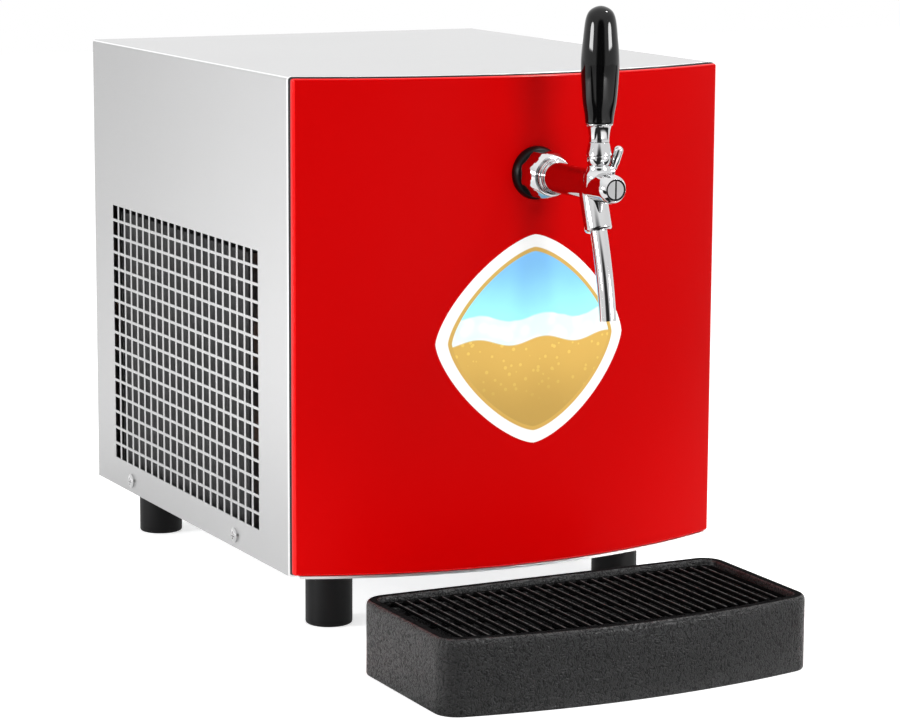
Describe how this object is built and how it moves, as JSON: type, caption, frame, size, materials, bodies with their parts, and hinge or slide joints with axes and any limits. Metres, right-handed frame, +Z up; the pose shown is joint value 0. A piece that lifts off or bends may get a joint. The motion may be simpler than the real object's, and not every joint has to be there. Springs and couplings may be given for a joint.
{
  "type": "draft beer dispenser",
  "caption": "Counter-top draft beer cooler: bowed front panel, folded stainless casing with side vents, lever tap with spout, rubber feet and a loose drip tray with wire grate.",
  "frame": {"origin": "middle of the whole footprint, casing and drip tray together, on the counter", "axes": "+Y to the back of the cabinet, the longest extent; +X to the right seen from the front, the shortest extent; +Z up"},
  "size_m": [0.4092, 0.7764, 0.5327],
  "materials": {
    "stainless": "satin",
    "red_panel": "gloss",
    "zinc": "satin",
    "foot_rubber": "matte",
    "screw_steel": "satin",
    "rosette_black": "gloss",
    "tap_chrome": "polished",
    "tap_brass": "satin",
    "seal_rubber": "matte",
    "handle_black": "gloss",
    "tray_black": "grained",
    "grate_black": "semi gloss",
    "fin_aluminium": "satin",
    "copper": "satin",
    "compressor_black": "semi gloss",
    "fan_plastic": "matte",
    "insulation": "matte",
    "beer_tube": "satin",
    "fitting_plastic": "satin",
    "control_black": "satin"
  },
  "bodies": {
    "cabinet": {"casing": "stainless", "front_panel": "red_panel", "panel_gasket": "seal_rubber", "front_sheet": "stainless", "base_pan": "zinc", "back_panel": "stainless", "foot_front_left": "foot_rubber", "foot_front_right": "foot_rubber", "foot_rear_left": "foot_rubber", "foot_rear_right": "foot_rubber", "foot_bolts": "zinc", "casing_screws": "screw_steel", "back_panel_screws": "screw_steel", "rosette": "rosette_black", "tap_shank": "tap_brass", "shank_washer": "zinc", "shank_lock_nut": "tap_brass", "coupling_nut": "tap_chrome", "tap_body": "tap_chrome", "end_plug": "tap_chrome", "end_plug_seal": "seal_rubber", "spout": "tap_chrome", "bonnet": "tap_chrome", "pivot_pin": "screw_steel", "condenser_fins": "fin_aluminium", "condenser_plates": "zinc", "condenser_tube": "copper", "fan_shroud": "zinc", "fan_motor": "compressor_black", "fan_bracket": "zinc", "compressor": "compressor_black", "compressor_grommets": "seal_rubber", "compressor_bolts": "zinc", "cold_block": "fin_aluminium", "insulation_box": "insulation", "insulation_lid": "insulation", "beer_line_in": "beer_tube", "beer_line_out": "beer_tube", "suction_line": "copper", "discharge_line": "copper", "filter_drier": "copper", "liquid_line": "copper", "beer_inlet": "fitting_plastic", "beer_inlet_nut": "tap_brass", "cord_gland": "control_black", "gland_nut": "control_black", "thermostat": "control_black", "switch_housing": "control_black"},
    "lever": {"lever_stem": "screw_steel", "lever_bell": "tap_chrome", "lever_ferrule": "tap_chrome", "handle": "handle_black"},
    "plunger": {"valve_plunger": "tap_brass", "plunger_seal": "seal_rubber"},
    "flow_lever": {"flow_lever": "tap_chrome"},
    "fan": {"fan_blades": "fan_plastic"},
    "thermostat_knob": {"thermostat_knob": "control_black"},
    "power_rocker": {"power_rocker": "control_black"},
    "drip_tray": {"drip_tray": "tray_black"},
    "drip_grate": {"drip_grate": "grate_black"}
  },
  "joints": [
    {"name": "lever_tilt", "type": "hinge", "parent": "cabinet", "child": "lever", "pos_m": [0, -0.25025, 0.4103], "axis": [1, 0, 0], "range_deg": [-12, 25]},
    {"name": "plunger_slide", "type": "slide", "parent": "cabinet", "child": "plunger", "axis": [0, 1, 0], "range_m": [-0.0042, 0.0086]},
    {"name": "flow_lever_turn", "type": "hinge", "parent": "cabinet", "child": "flow_lever", "pos_m": [0.012, -0.25025, 0.3998], "axis": [1, 0, 0], "range_deg": [-40, 40]},
    {"name": "fan_spin", "type": "hinge", "parent": "cabinet", "child": "fan", "pos_m": [-0.1311, 0.15925, 0.1923], "axis": [1, 0, 0], "continuous": true},
    {"name": "thermostat_turn", "type": "hinge", "parent": "cabinet", "child": "thermostat_knob", "pos_m": [-0.044, 0.37125, 0.4123], "axis": [0, 1, 0], "range_deg": [0, 270]},
    {"name": "power_rock", "type": "hinge", "parent": "cabinet", "child": "power_rocker", "pos_m": [-0.112, 0.36625, 0.4123], "axis": [1, 0, 0], "range_deg": [0, 20]},
    {"name": "tray_slide", "type": "slide", "parent": "cabinet", "child": "drip_tray", "axis": [0, -1, 0], "range_m": [0, 0.15]},
    {"name": "grate_lift", "type": "slide", "parent": "drip_tray", "child": "drip_grate", "axis": [0, 0, 1], "range_m": [0, 0.06]}
  ],
  "couplings": [
    {"joint": "plunger_slide", "follows": "lever_tilt", "m_per_rad": 0.019}
  ]
}
